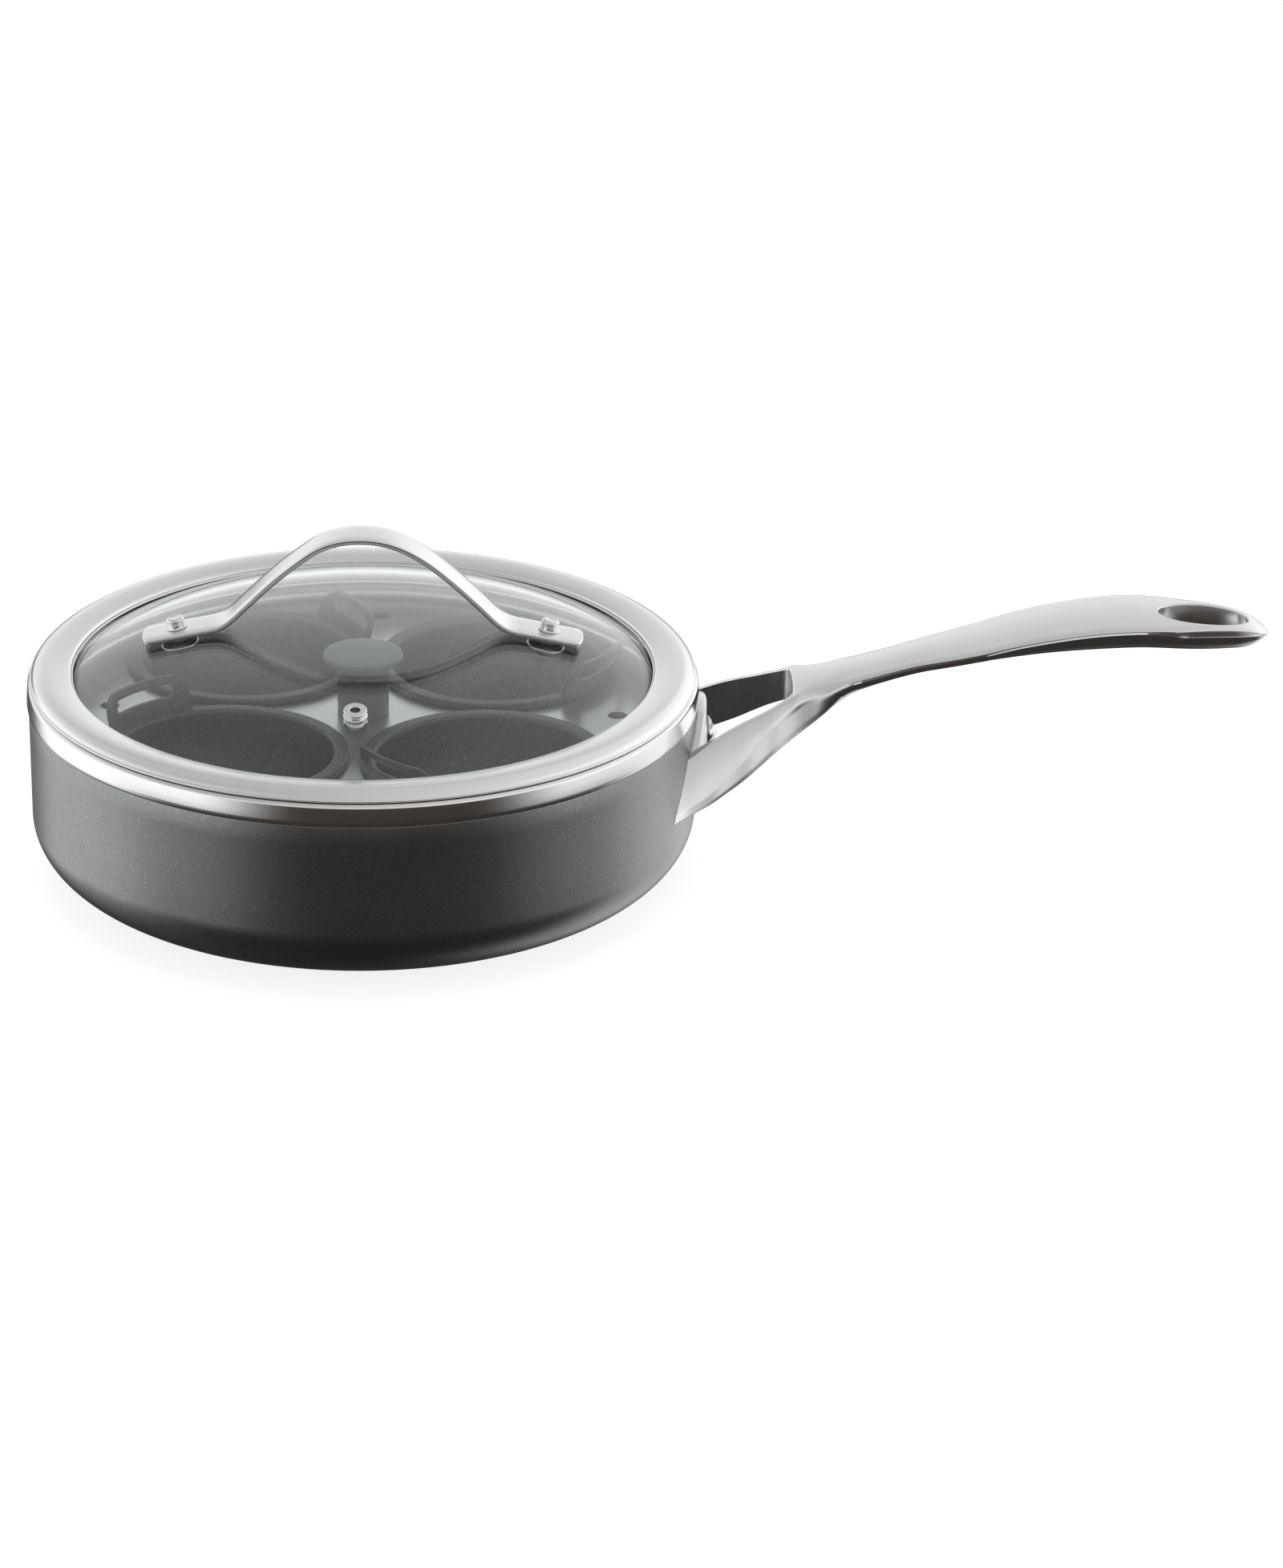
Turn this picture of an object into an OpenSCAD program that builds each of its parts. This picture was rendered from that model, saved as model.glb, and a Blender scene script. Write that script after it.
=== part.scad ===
// Egg poacher pan with a glass lid. Millimetres, +Z up, base on z = 0, long handle along +X.

/* [Pan] */
// Outer radius of the pan wall just under the rim band
pan_r = 104.4; // [103.4:0.1:107]
// Height of the shoulder that the rim band stops at
pan_h = 56.6; // [50:0.1:64]
// Wall thickness of the pan
pan_wall = 3; // [2.4:0.1:3.4]
// Radius of the flat base
base_r = 75; // [66:0.5:80]

/* [Long handle] */
// Reach of the handle's tip from the pan's axis
handle_reach = 283; // [262:1:310]
// Half width of the grip at its widest
grip_half = 16.2; // [14:0.1:17.5]
// Height of the upper rivet above the base
rivet_z = 44.7; // [42:0.1:47]

/* [Tray and cups] */
// Radius of the circle of cup centres
cup_ring_r = 55.9; // [55:0.1:56]
// Turn of the tray's hole pattern about the axis
tray_turn = -4; // [-20:1:20]
// Outer radius of a cup's flange
cup_r = 38; // [37:0.1:38.4]
// Depth of a cup below its flange
cup_depth = 25; // [18:0.5:28]
// Height of a cup's bent-up tab along its slant
tab_h = 10; // [8.6:0.1:10]
// Lean of the tab away from its cup
tab_lean = 16; // [10:1:18]
// Direction that each cup's tab points
tab_dirs = [-32, 27, 133, 222];
// Radius of the knob's disc
knob_r = 12.6; // [10.6:0.1:14]

/* [Lid] */
// Height of the top of the glass
dome_z = 81.2; // [80.9:0.1:81.3]
// How far the glass drops from its top to the ring
dome_drop = 16.3; // [16.2:0.1:16.5]
// Share of that drop that curls down towards the ring
dome_curl = 0.567; // [0.5:0.01:0.6]
// Thickness of the glass
glass_t = 3.2; // [2.8:0.1:3.3]
// Width of the strap handle
strap_w = 13; // [10:0.5:15]
// Thickness of the strap handle
strap_t = 1.8; // [1.4:0.1:2.2]
// Turn of the strap handle about the axis
strap_turn = -2; // [-10:1:10]

/* [Hidden] */
$fn = 96;
dr = pan_r - 104.4;          // how far the rim parts move out with the pan
up = pan_h - 56.6;           // how far everything above the shoulder moves up
taper = 0.014;               // wall's draft
corner_h = 21;               // height of the rounded bottom corner
function wall_r(z) = pan_r - taper * (pan_h - z);
plate_z = 51.2;              // top of the tray's plate
sheet = 0.9;                 // tray sheet
flange_z = 53.5;             // top of a cup's flange
knob_top = 70.1;
lower_rivet_z = rivet_z - 13.7;
stud_r = 57.4;               // radius of the lid studs from the axis
vent_r = 62.6;
vent_dir = -92.25;
rim_r = 90.6 + dr;           // inner edge of the ring
foot_h = 2.73;               // top of the strap's feet above the glass
steel = [0.78, 0.78, 0.77];
dark = [0.24, 0.24, 0.25];
cup_grey = [0.3, 0.31, 0.32];

// a quarter ellipse from (r0, z0) flat to (r1, z0 + h) upright
function bend_up(r0, r1, z0, h, n = 12) =
    [for (i = [0:n]) let(a = 90 * i / n) [r0 + (r1 - r0) * sin(a), z0 + h * (1 - cos(a))]];
function arc(cx, cy, r, a0, a1, n = 5) =
    [for (i = [0:n]) let(a = a0 + (a1 - a0) * i / n) [cx + r * cos(a), cy + r * sin(a)]];
function flip(p) = [for (i = [len(p) - 1:-1:0]) p[i]];
// a smooth curve through a few points
function knot(p, i) = p[max(0, min(len(p) - 1, i))];
function curve(p, n = 4) = concat([for (i = [0:len(p) - 2]) for (k = [0:n - 1])
    let(t = k / n, a = knot(p, i - 1), b = p[i], c = p[i + 1], d = knot(p, i + 2))
    0.5 * (2 * b + (c - a) * t + (2 * a - 5 * b + 4 * c - d) * t * t
        + (3 * b - a - 3 * c + d) * t * t * t)], [p[len(p) - 1]]);
// height and slope of the glass at radius r: nearly flat on top, steeper near the ring
function glass_z(r) = let(q = r / rim_r) dome_z - dome_drop * ((1 - dome_curl) * q * q + dome_curl * pow(q, 4));
function glass_a(r) = let(q = r / rim_r) atan(dome_drop / rim_r * (2 * (1 - dome_curl) * q + 4 * dome_curl * pow(q, 3)));
function unit(v) = v / norm(v);
// the same line, moved sideways by t
function beside(p, t) = [for (i = [0:len(p) - 1])
    let(d = unit(knot(p, i + 1) - knot(p, i - 1))) p[i] + t * [d[1], -d[0]]];

// ---------- pan ----------
module pan_body() color(dark)
difference() {
    rotate_extrude($fn = 128) polygon(concat(
        [[0, 0]],
        bend_up(base_r, wall_r(corner_h), 0, corner_h, 14),
        [[pan_r, pan_h], [pan_r - 0.7, pan_h]],
        arc(pan_r - 1.2, 62.4 + up, 0.5, 0, 90, 3),
        arc(pan_r - pan_wall + 0.5, 62.4 + up, 0.5, 90, 180, 3),
        [[pan_r - pan_wall, pan_h]],
        flip(bend_up(base_r + 1, wall_r(corner_h) - pan_wall, 4, corner_h - 2, 14)),
        [[0, 4]]));
    for (z = [rivet_z, lower_rivet_z]) translate([90, 0, z]) rotate([0, 90, 0]) cylinder(r = 2.55, h = 30);
}

// ---------- long handle ----------
function hx(x) = x < 150 ? x : 150 + (x - 150) * (handle_reach - 150) / 133;
function stretch(p) = [for (q = p) [hx(q[0]), q[1]]];
function widen(p) = [for (q = p) [hx(q[0]), q[1] * grip_half / 16.2]];
half_plan = concat([[140, 10.2], [145, 10.9], [149, 11.3]],
    widen(curve([[153, 11.2], [162.6, 10.9], [172.7, 11.4], [182.7, 12.9], [192.8, 14.1], [202.8, 14.9], [212.8, 15.6],
        [222.9, 16], [232.9, 16.2], [242.9, 16], [253, 15.3], [263, 13.6], [270, 11.7], [275, 9.8], [279.5, 6.9],
        [282.3, 3.2], [283, 0]], 3)));
top_line = stretch(curve([[140, 62.4], [147.6, 64.1], [152.6, 65.3], [162.6, 68], [172.7, 70.8], [182.7, 73.1],
    [192.8, 75.5], [202.8, 78.3], [212.8, 80.5], [222.9, 82.2], [232.9, 83.3], [242.9, 83.6], [253, 83.1],
    [263, 82.5], [273, 81.2], [279, 79.8], [282, 78.4], [283, 77.5]], 2));
low_line = stretch(curve([[140, 52.6], [143, 54], [148, 56.8], [155, 60], [162.6, 62.7], [172.7, 65.7], [182.7, 68],
    [192.8, 70.1], [202.8, 71.7], [212.8, 73], [222.9, 73.8], [232.9, 74.3], [242.9, 74.5], [253, 73.9], [263, 73.2],
    [273, 73], [279, 73.8], [282, 75], [283, 75.8]], 3));
module plan(h0, h1) translate([0, 0, h0]) linear_extrude(h1 - h0) children();
module side(half) translate([0, half, 0]) rotate([90, 0, 0]) linear_extrude(2 * half) children();
// a frame on the outer face of an arm: its +Z points off the face, its +X down the blade, its +Y to the pan
module on_arm(s) mirror([0, s, 0]) translate([107.3, 24.7, 49.7]) rotate([0, 68.3, 74.8]) children();
module arm(s) on_arm(s) translate([0, 0, -3.2]) linear_extrude(3.5) polygon([[-12.8, -31], [-11, -27.3],
    [-5, -11.4], [0, 0], [2.8, 5.6], [6, 14], [27, 20], [22.6, 12], [19, 1.9], [15.7, -3.4], [12.3, -9.4],
    [7.6, -17.3], [2.2, -25.9], [-1.2, -31]]);
module neck() intersection() {
    plan(45, 70) polygon([[133.8, -19.5], [141, -19.5], [149, -11.3], [149, 11.3], [141, 19.5], [133.8, 19.5]]);
    side(20) polygon([[133.8, 60.9], [135.5, 61.6], [142, 62.8], [149, 64.4], [149, 57.3], [143, 54], [138, 51.2], [133.8, 48.8]]);
    // the arms' outer faces bound the neck
    on_arm(0) translate([-40, -60, -60]) cube([90, 90, 60.3]);
    on_arm(1) translate([-40, -60, -60]) cube([90, 90, 60.3]);
}
module handle() color(steel)
difference() {
    union() {
        intersection() {
            plan(45, 95) polygon(concat(half_plan, [for (p = flip(half_plan)) [p[0], -p[1]]]));
            side(20) polygon(concat(top_line, flip(low_line)));
        }
        neck();
        for (s = [0, 1]) arm(s);
        // leaf-shaped flange that lies on the wall between the arms
        intersection() {
            rotate_extrude($fn = 128) polygon([[100, 22], [100, 56.5], [wall_r(56.5) + 3, 56.5], [wall_r(22) + 3.3, 22]]);
            translate([90, 0, 0]) rotate([90, 0, 90]) linear_extrude(40)
                polygon(curve([[-33.4, 29], [-31.8, 34], [-28.5, 40], [-24, 46], [-20, 49], [-14, 52.5], [-7, 54.9], [0, 55.6],
                    [7, 54.9], [14, 52.5], [20, 49], [24, 46], [28.5, 40], [31.8, 34], [33.4, 29], [31, 26.2],
                    [21, 24.2], [0, 23.4], [-21, 24.2], [-31, 26.2], [-33.4, 29]], 2));
        }
    }
    // seat on the pan's tapered wall
    translate([0, 0, 10]) cylinder(r1 = wall_r(10) + 0.06, r2 = wall_r(60) + 0.06, h = 50, $fn = 128);
    for (z = [rivet_z, lower_rivet_z]) translate([90, 0, z]) rotate([0, 90, 0]) cylinder(r = 2.6, h = 30);
    // hanging hole: a long oval
    plan(60, 95) {
        translate([hx(256.5), 0]) circle(r = 8.2, $fn = 64);
        translate([hx(268.3), 0]) circle(r = 8.2, $fn = 64);
        translate([hx(256.5), -8.2]) square([hx(268.3) - hx(256.5), 16.4]);
    }
}
module handle_rivets() color(steel)
for (z = [rivet_z, lower_rivet_z]) translate([0, 0, z]) rotate([0, 90, 0]) rotate_extrude($fn = 64)
    polygon(concat([[0, pan_r - 6.2]],
        [[2.6, pan_r - 6.1], [4.2, pan_r - 5.2], [4.4, pan_r - pan_wall - 0.75], [2.5, pan_r - pan_wall - 0.75]],
        [[2.5, pan_r + 3.3], [4.4, pan_r + 3.3], [4.4, pan_r + 3.9]],
        arc(0, pan_r + 1.2, 5.16, 31.5, 90, 6)));

// ---------- tray ----------
module at_cup(k) translate([cup_ring_r * cos(45 + 90 * k + tray_turn), cup_ring_r * sin(45 + 90 * k + tray_turn), 0]) children();
module tray() color(steel)
difference() {
    translate([0, 0, up]) rotate_extrude($fn = 128) polygon(concat(
        [[0, plate_z - sheet], [93.6 + dr, plate_z - sheet]],
        arc(93.6 + dr, plate_z + 3.4, 3.4 + sheet, -90, 0, 5),
        arc(99.9 + dr, 61.8, 2.3 - sheet, 180, 90, 4),
        arc(103.3 + dr, 62.5, 1.6 - sheet, 90, 0, 3),
        [[104 + dr, 57], [104.8 + dr, 57], [104.95 + dr, 59.5]],
        arc(103.35 + dr, 62.5, 1.6, 0, 90, 5),
        arc(99.9 + dr, 61.8, 2.3, 90, 180, 5),
        arc(93.6 + dr, plate_z + 3.4, 3.4, 0, -90, 5),
        [[0, plate_z]]));
    for (k = [0:3]) at_cup(k) translate([0, 0, 40 + up]) cylinder(r = cup_r - 2.8, h = 20);
    for (k = [0:3]) rotate(90 * k + tray_turn) translate([79, 0, 40 + up]) cylinder(r = 3, h = 20);
    translate([0, 0, 40 + up]) cylinder(r = 2.2, h = 20);
}
module tray_knob() color([0.4, 0.41, 0.42])
translate([0, 0, up]) difference() {
    rotate_extrude($fn = 96) polygon(concat(
        [[0, plate_z + 0.05], [8, plate_z + 0.05]],
        arc(9.6, 65.8, 1.6, 180, 90, 4),
        [[knob_r - 0.6, 68.1]],
        arc(knob_r - 1, 69.1, 1, -60, 90, 6),
        [[0, knob_top + 0.25]]));
    translate([0, 0, plate_z - 1]) cylinder(r = 2.02, h = 12);
}
module tray_knob_screw() color(steel)
translate([0, 0, up]) difference() {
    rotate_extrude($fn = 64) polygon(concat(
        [[0, 46.9], [2.6, 46.9]], arc(2.6, 48.3, 1.4, -90, 0, 4), [[4, 49.3], [1.98, 49.3], [1.98, 60.8], [0, 60.8]]));
    for (a = [0, 90]) rotate(a) translate([-2, -0.45, 46]) cube([4, 0.9, 2]);
}
module tray_knob_washer() color(steel)
translate([0, 0, up + 49.35]) difference() {
    cylinder(r = 5.5, h = 0.9, $fn = 64);
    translate([0, 0, -1]) cylinder(r = 2.15, h = 4, $fn = 48);
}

// ---------- cups ----------
module tab_shape() {
    // seen along the radius: a tongue with round top corners and a slot
    difference() {
        union() {
            translate([-16.8, -3]) square([33.6, tab_h - 3]);
            translate([-10.8, -3]) square([21.6, 3 + tab_h]);
            for (s = [-1, 1]) translate([s * 10.8, tab_h - 6]) circle(r = 6, $fn = 48);
        }
        translate([-10.1, tab_h - 6.2]) square([20.2, 3.8]);
        for (s = [-1, 1]) translate([s * 10.1, tab_h - 4.3]) circle(r = 1.9, $fn = 32);
    }
}
module cup(dir) color(cup_grey)
translate([0, 0, flange_z + up]) rotate(dir) {
    mouth = cup_r - 5;           // inner radius just under the lip
    rotate_extrude($fn = 96) polygon(concat(
        [for (i = [0:14]) let(a = 90 * i / 14) [15 + (mouth - 15) * sin(a), -1.2 - (cup_depth - 1.2) * cos(a)]],
        arc(mouth + 1.3, -1.3, 1.3, 170, 90, 4),
        arc(cup_r - 0.9, -0.9, 0.9, 90, 0, 4),
        [[cup_r, -1.85], [cup_r - 1, -1.85], [cup_r - 1.1, -1.3], [mouth + 1.3, -1.3]],
        [for (i = [14:-1:0]) let(a = 90 * i / 14) [15 + (mouth - 13.75) * sin(a), -2.4 - (cup_depth - 1.2) * cos(a)]],
        [[0, -1.2 - cup_depth], [0, -cup_depth]]));
    // bent-up tab, leaning away from the cup
    intersection() {
        rotate(-30) rotate_extrude(angle = 60, $fn = 96) {
            s = sin(tab_lean); c = cos(tab_lean);
            translate([cup_r - 1.75, -0.9]) polygon([[0, 0], [1.55, 0], [1.55 + 12 * s / c, 12], [12 * s / c, 12]]);
        }
        translate([20, 0, 0]) rotate([90, 0, 90]) linear_extrude(40) tab_shape();
    }
}
module cup_1() at_cup(0) cup(tab_dirs[0]);
module cup_2() at_cup(1) cup(tab_dirs[1]);
module cup_3() at_cup(2) cup(tab_dirs[2]);
module cup_4() at_cup(3) cup(tab_dirs[3]);

// ---------- lid ----------
// places a child with its +Z along the dome's normal and its z = 0 on the glass
module on_dome(r, dir) rotate(dir) translate([r, 0, glass_z(r) + up]) rotate([0, glass_a(r), 0]) children();
module at_studs() for (s = [0, 180]) on_dome(stud_r, strap_turn + s) children();
module ring(r0, r1, z0, z1) translate([0, 0, z0]) difference() {
    cylinder(r = r1, h = z1 - z0, $fn = 64);
    translate([0, 0, -1]) cylinder(r = r0, h = z1 - z0 + 2, $fn = 64);
}
module lid_glass() color([0.75, 0.8, 0.8, 0.4])
difference() {
    translate([0, 0, up]) rotate_extrude($fn = 128) {
        rr = concat([for (q = [0, 16, 30, 42, 52, 61, 69, 76, 82, 87, 91, 96, 102]) if (q < 93 + dr) q], [94.2 + dr]);
        polygon(concat([for (r = rr) [r, glass_z(r)]], flip([for (r = rr) [r, glass_z(r) - glass_t / cos(glass_a(r))]])));
    }
    at_studs() translate([0, 0, -10]) cylinder(r = 3.4, h = 20);
    on_dome(vent_r, vent_dir) translate([0, 0, -10]) cylinder(r = 3, h = 20);
}
module lid_rim() color(steel)
translate([0, 0, up]) {
    // rolled top of the ring: outer bead, crown, inner lip
    top = concat([[104, 64.45], [104.05, 64.9], [103.7, 65.3]],
        curve([[103.5, 65.5], [102.9, 66.3], [101.9, 67.1], [100.4, 67.75], [98.4, 68.05], [96, 67.95],
            [93.8, 67.55], [92, 67.05], [91.1, 66.65], [90.66, 66.2], [90.6, 65.4]], 2));
    rotate_extrude($fn = 128) polygon([for (p = concat(top, [[91.3, 65.2], [91.45, 65.9], [92.3, 66.35], [94, 66.8], [96, 67.15], [98.4, 67.25],
        [100.2, 66.95], [101.4, 66.45], [102.3, 65.7], [102.9, 64.9], [103.1, 64.45]])) [p[0] + dr, p[1]]]);
    // channel that holds the edge of the glass
    rotate_extrude($fn = 128) polygon([for (p = [[94.5, 67.45], [95.3, 67.45], [95.3, 58.1], [94.9, 57.5], [91, 57.5], [91, 58.1], [94.3, 58.1], [94.5, 58.3]])
        [p[0] + dr, p[1]]]);
}
module vent_eyelet() color(steel)
on_dome(vent_r, vent_dir) rotate_extrude($fn = 48) polygon([[1.5, 2.4], [1.9, 2.7], [3.2, 2.7], [3.7, 2.35], [3.6, 1.9], [2.95, 1.5],
    [2.9, 1.1], [3.3, 0.75], [3.8, 0.5], [3.8, 0.12], [2.9, 0.08], [2.9, -glass_t - 0.1], [3.8, -glass_t - 0.15],
    [3.8, -glass_t - 0.7], [3.3, -glass_t - 1.1], [1.9, -glass_t - 1.2], [1.5, -glass_t - 0.9]]);
// the strap's upper line, seen from the side, from tip to tip
foot_a = glass_a(stud_r);
foot = [stud_r + foot_h * sin(foot_a), glass_z(stud_r) + foot_h * cos(foot_a)];
function on_foot(s, x) = [s * x, foot[1] - (x - foot[0]) * tan(foot_a)];
strap_top = concat([on_foot(-1, 69.5), on_foot(-1, 60)],
    curve([on_foot(-1, 55), on_foot(-1, 50), on_foot(-1, 47.2), [-44.6, 82.6], [-41.6, 84.7], [-36.6, 89.6], [-29.2, 96.8],
        [-21.4, 103.4], [-14.2, 108.5], [-7.4, 111], [0, 111.7], [7.2, 110.9], [14, 108.4], [21.2, 104], [29.2, 97.4],
        [37, 90], [41.8, 85.1], [44.8, 82.8], on_foot(1, 47.6), on_foot(1, 50), on_foot(1, 55)], 3),
    [on_foot(1, 60), on_foot(1, 69.5)]);
module lid_handle() color(steel)
translate([0, 0, up]) rotate(strap_turn) difference() {
    intersection() {
        side(20) polygon(concat(strap_top, flip(beside(strap_top, strap_t))));
        plan(60, 130) {
            w = strap_w / 2;
            tip = [[67.1, -w], [67.45, -w + 0.35], [68.35, -w + 3], [68.8, 0], [68.35, w - 3], [67.45, w - 0.35], [67.1, w]];
            polygon(concat(tip, [for (p = tip) -p]));
        }
    }
    for (s = [0, 180]) rotate(s) translate([stud_r, 0, glass_z(stud_r)]) rotate([0, foot_a, 0]) cylinder(r = 2.4, h = 12);
}
module lid_rivets() color(steel)
at_studs() rotate_extrude($fn = 48) polygon(concat([[0, -glass_t - 3.4], [1.5, -glass_t - 3.4], [1.9, -glass_t - 3],
    [1.9, -glass_t - 2.4], [3.1, -glass_t - 2.2], [3.1, -glass_t - 1.65], [2.35, -glass_t - 1.65], [2.35, foot_h + 0.05], [3.4, foot_h + 0.05],
    [3.4, foot_h + 0.45], [2.85, foot_h + 0.8]], arc(2, foot_h + 2.81, 0.85, 0, 90, 5), [[0, foot_h + 3.71]]));
module lid_sleeves() color([0.6, 0.62, 0.62]) at_studs() ring(2.45, 3.3, -glass_t, 0);
module lid_gaskets() color([0.6, 0.62, 0.62]) at_studs() ring(2.45, 5.6, 0.05, foot_h - strap_t - 0.05);
module lid_gaskets_under() color([0.6, 0.62, 0.62]) at_studs() ring(2.45, 5.5, -glass_t - 0.75, -glass_t - 0.2);
module lid_backing_washers() color(steel) at_studs() ring(2.45, 5.9, -glass_t - 1.6, -glass_t - 0.8);

pan_body();
handle();
handle_rivets();
tray();
tray_knob();
tray_knob_screw();
tray_knob_washer();
cup_1();
cup_2();
cup_3();
cup_4();
lid_glass();
lid_rim();
vent_eyelet();
lid_handle();
lid_rivets();
lid_sleeves();
lid_gaskets();
lid_gaskets_under();
lid_backing_washers();
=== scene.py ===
import math
import bpy
import bmesh
import numpy as np
from mathutils.bvhtree import BVHTree
from mathutils import Matrix, Vector
from mathutils.geometry import delaunay_2d_cdt


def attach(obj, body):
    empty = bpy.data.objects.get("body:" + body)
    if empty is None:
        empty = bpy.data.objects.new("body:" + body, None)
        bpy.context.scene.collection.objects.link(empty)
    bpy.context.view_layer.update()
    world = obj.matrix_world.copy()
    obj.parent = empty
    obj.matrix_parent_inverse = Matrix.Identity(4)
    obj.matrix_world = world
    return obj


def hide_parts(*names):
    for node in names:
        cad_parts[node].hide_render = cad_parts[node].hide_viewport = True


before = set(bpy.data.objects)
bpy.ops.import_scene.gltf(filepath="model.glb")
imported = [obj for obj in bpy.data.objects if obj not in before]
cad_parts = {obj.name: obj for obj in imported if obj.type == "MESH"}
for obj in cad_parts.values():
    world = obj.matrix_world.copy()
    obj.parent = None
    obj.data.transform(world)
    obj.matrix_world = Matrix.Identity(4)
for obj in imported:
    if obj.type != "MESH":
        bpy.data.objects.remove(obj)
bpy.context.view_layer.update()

MM = 0.001
scene = bpy.context.scene
rad = math.radians

# ------------------------------------------------------------------ camera
back = Vector((0, -math.cos(rad(22.468)), math.sin(rad(22.468))))
cam_pos = Vector((0, 0, 44.127)) + back * 2683.0
fwd0 = -back
right0 = Vector((1, 0, 0))
up0 = right0.cross(fwd0)
F_PX = 10680.0
t = Vector(((453.39 - 800) / F_PX, (977.5 - 915.0) / F_PX, 1.0)).normalized()
zz = Vector((0, 0, 1))
v = zz.cross(t)
c = zz.dot(t)
K = Matrix(((0, -v.z, v.y), (v.z, 0, -v.x), (-v.y, v.x, 0)))
Q = Matrix.Identity(3) + K + (K @ K) * (1 / (1 + c))
ro = rad(0.412)
Rz = Matrix(((math.cos(ro), -math.sin(ro), 0), (math.sin(ro), math.cos(ro), 0), (0, 0, 1)))
B = Matrix((right0, up0, fwd0))
R = (Q @ Rz) @ B
cam_data = bpy.data.cameras.new("camera")
cam = bpy.data.objects.new("camera", cam_data)
scene.collection.objects.link(cam)
M = Matrix((R[0], R[1], -R[2])).transposed().to_4x4()
M.translation = cam_pos * MM
cam.matrix_world = M
cam_data.sensor_fit = "AUTO"
cam_data.sensor_width = 36.0
cam_data.lens = 36.0 * F_PX / 1955.0
cam_data.clip_start = 0.05
cam_data.clip_end = 50.0
cam_data.dof.use_dof = False
scene.camera = cam

# ------------------------------------------------------------------ mesh helpers (millimetres in, metres out)
def curve(p, n=6):
    p = [np.array(q, float) for q in p]
    out = []
    k = len(p)
    for i in range(k - 1):
        a, b, c_, d = p[max(i - 1, 0)], p[i], p[i + 1], p[min(i + 2, k - 1)]
        for j in range(n):
            s = j / n
            out.append(0.5 * (2 * b + (c_ - a) * s + (2 * a - 5 * b + 4 * c_ - d) * s * s
                              + (3 * b - a - 3 * c_ + d) * s ** 3))
    out.append(p[-1])
    return out


def arc(cx, cy, r, a0, a1, n=8):
    return [(cx + r * math.cos(rad(a0 + (a1 - a0) * i / n)), cy + r * math.sin(rad(a0 + (a1 - a0) * i / n)))
            for i in range(n + 1)]


def make(name, verts, faces, sharp=32.0, smooth=True):
    me = bpy.data.meshes.new(name)
    me.from_pydata([tuple(float(x) * MM for x in p) for p in verts], [], [tuple(f) for f in faces])
    me.validate()
    ob = bpy.data.objects.new(name, me)
    scene.collection.objects.link(ob)
    tidy(ob, sharp, smooth)
    return ob


def tidy(ob, sharp=32.0, smooth=True, merge=1e-7):
    me = ob.data
    bm = bmesh.new()
    bm.from_mesh(me)
    bmesh.ops.remove_doubles(bm, verts=bm.verts, dist=merge)
    bmesh.ops.recalc_face_normals(bm, faces=bm.faces)
    for f in bm.faces:
        f.smooth = smooth
    lim = rad(sharp)
    for e in bm.edges:
        e.smooth = not (len(e.link_faces) == 2 and e.calc_face_angle(0.0) > lim)
    bm.to_mesh(me)
    bm.free()
    me.update()


def lathe(name, profile, n=256, sharp=32.0, placement=None):
    """a closed (r, z) outline turned about Z"""
    prof = []
    for p in profile:
        p = (max(float(p[0]), 0.0), float(p[1]))
        if not prof or (abs(p[0] - prof[-1][0]) + abs(p[1] - prof[-1][1])) > 1e-5:
            prof.append(p)
    if abs(prof[0][0] - prof[-1][0]) + abs(prof[0][1] - prof[-1][1]) < 1e-5:
        prof.pop()
    verts, faces, rows = [], [], []
    for r, z in prof:
        if r < 1e-6:
            rows.append([len(verts)] * n)
            verts.append((0, 0, z))
        else:
            rows.append(list(range(len(verts), len(verts) + n)))
            verts += [(r * math.cos(2 * math.pi * k / n), r * math.sin(2 * math.pi * k / n), z) for k in range(n)]
    m = len(prof)
    for i in range(m):
        a, b = rows[i], rows[(i + 1) % m]
        if prof[i][0] < 1e-6 and prof[(i + 1) % m][0] < 1e-6:
            continue
        for k in range(n):
            k2 = (k + 1) % n
            f = []
            for q in (a[k], a[k2], b[k2], b[k]):
                if q not in f:
                    f.append(q)
            if len(f) > 2:
                faces.append(f)
    if placement is not None:
        verts = [tuple(placement @ Vector(p)) for p in verts]
    return make(name, verts, faces, sharp)


def loft(name, rings, sharp=40.0, caps=True):
    n = len(rings[0])
    verts = [p for r in rings for p in r]
    faces = []
    for i in range(len(rings) - 1):
        for k in range(n):
            k2 = (k + 1) % n
            faces.append((i * n + k, i * n + k2, (i + 1) * n + k2, (i + 1) * n + k))
    if caps:
        faces.append(tuple(range(n)))
        faces.append(tuple((len(rings) - 1) * n + k for k in range(n)))
    return make(name, verts, faces, sharp)


def apply_mods(ob):
    bpy.context.view_layer.update()
    dg = bpy.context.evaluated_depsgraph_get()
    me = bpy.data.meshes.new_from_object(ob.evaluated_get(dg))
    old = ob.data
    ob.modifiers.clear()
    ob.data = me
    me.name = ob.name
    bpy.data.meshes.remove(old)


def boolean(ob, cutters, op="DIFFERENCE", solver="EXACT"):
    for k in cutters:
        m = ob.modifiers.new("b", "BOOLEAN")
        m.operation = op
        m.object = k
        m.solver = solver
    apply_mods(ob)
    for k in cutters:
        me = k.data
        bpy.data.objects.remove(k)
        bpy.data.meshes.remove(me)


def place(ob, body, slot, mat, *nodes):
    ob.data.materials.clear()
    ob.data.materials.append(mat)
    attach(ob, body)
    if nodes:
        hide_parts(*nodes)
    return ob


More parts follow.
